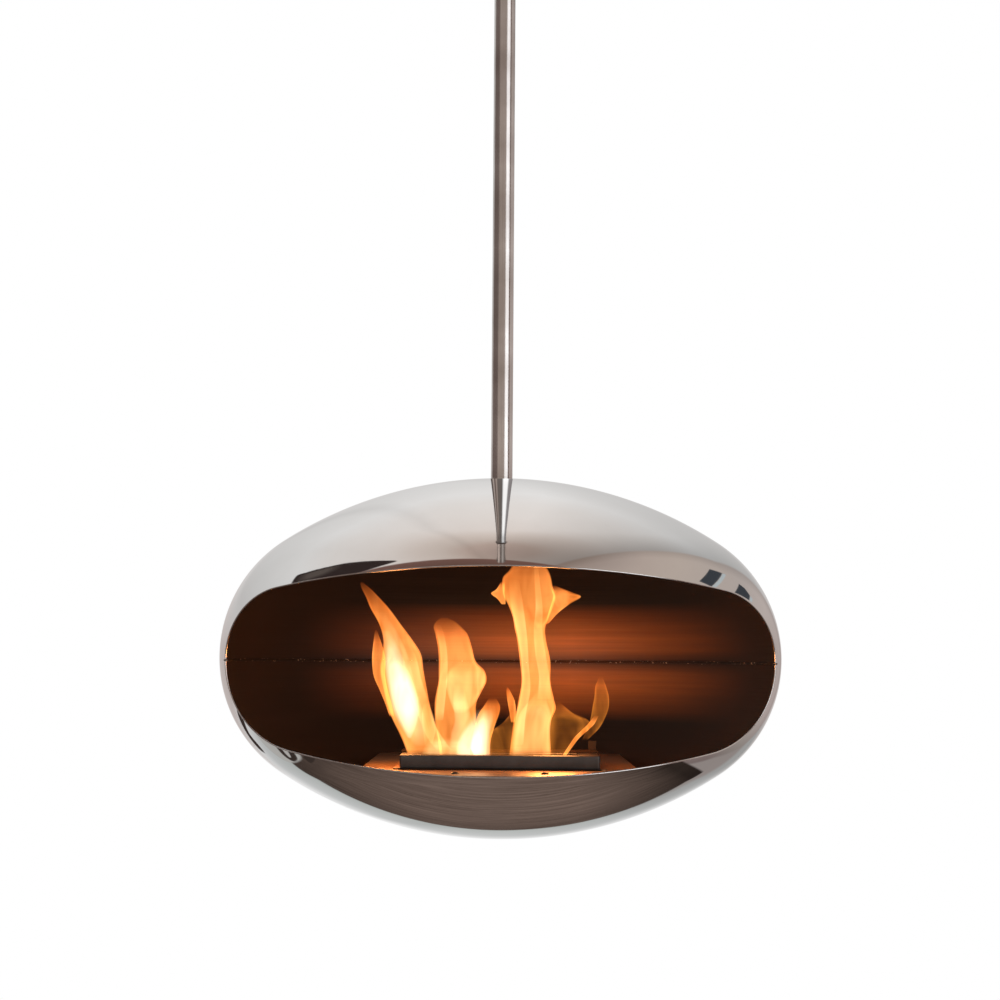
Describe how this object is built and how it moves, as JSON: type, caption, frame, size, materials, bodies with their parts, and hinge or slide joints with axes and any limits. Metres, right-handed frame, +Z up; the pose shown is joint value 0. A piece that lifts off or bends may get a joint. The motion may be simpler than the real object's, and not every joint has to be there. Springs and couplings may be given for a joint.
{
  "type": "hanging fireplace",
  "caption": "Round steel fire pod with a wide mouth and an inner burner, hung from the ceiling on a slim pole that turns in a bearing.",
  "frame": {"origin": "on the ceiling face of the mounting plate, at the pole's axis", "axes": "+Z up along the pole, -Y out of the fire's mouth, +X to the right of someone who looks into the mouth"},
  "size_m": [0.6398, 0.6109, 1.0749],
  "materials": {
    "mirror_steel": "mirror polished stainless steel outside, dark heat-proof paint inside",
    "pole_steel": "polished tube with a fine lengthwise grain",
    "ring_steel": "polished ring",
    "fitting_steel": "turned steel",
    "zinc_steel": "zinc plated",
    "bearing_steel": "ground bearing steel with a film of grease",
    "brass": "machined bronze",
    "fire_paint": "matt heat-proof paint, browned by heat",
    "hearth_steel": "heat-tinted steel sheet",
    "burner_steel": "dark satin steel sheet",
    "ceramic_wool": "fibrous mineral wool"
  },
  "bodies": {
    "ceiling_mount": {"ceiling_plate": "zinc_steel", "bearing_housing": "fitting_steel", "housing_screws": "zinc_steel", "spindle_bush": "brass", "lower_race": "bearing_steel", "canopy": "pole_steel", "canopy_screws": "zinc_steel"},
    "ball_ring": {"bearing_balls": "bearing_steel", "bearing_cage": "brass"},
    "hanging_pod": {"upper_race": "bearing_steel", "thrust_washer": "zinc_steel", "castle_nut": "zinc_steel", "split_pin": "zinc_steel", "spindle": "fitting_steel", "pole": "pole_steel", "pole_end_plug": "ring_steel", "hanger_stud": "zinc_steel", "spreader_plate": "fire_paint", "hanger_washer": "zinc_steel", "cap_nut": "zinc_steel", "upper_bowl": "mirror_steel", "lower_bowl": "mirror_steel", "seam_weld": "fire_paint", "hearth_plate": "hearth_steel", "plate_supports": "fire_paint", "plate_screws": "burner_steel", "burner_tray": "hearth_steel", "burner_wool": "ceramic_wool", "burner_top": "burner_steel"},
    "flame_damper": {"damper": "hearth_steel"}
  },
  "joints": [
    {"name": "swivel", "type": "hinge", "parent": "ceiling_mount", "child": "hanging_pod", "pos_m": [0, 0, -0.03], "axis": [0, 0, 1], "continuous": true},
    {"name": "ball_ring_turn", "type": "hinge", "parent": "ceiling_mount", "child": "ball_ring", "pos_m": [0, 0, -0.03], "axis": [0, 0, 1], "continuous": true},
    {"name": "damper_slide", "type": "slide", "parent": "hanging_pod", "child": "flame_damper", "axis": [0, -1, 0], "range_m": [0, 0.051]}
  ],
  "couplings": [
    {"joint": "ball_ring_turn", "follows": "swivel", "ratio": 0.5}
  ]
}
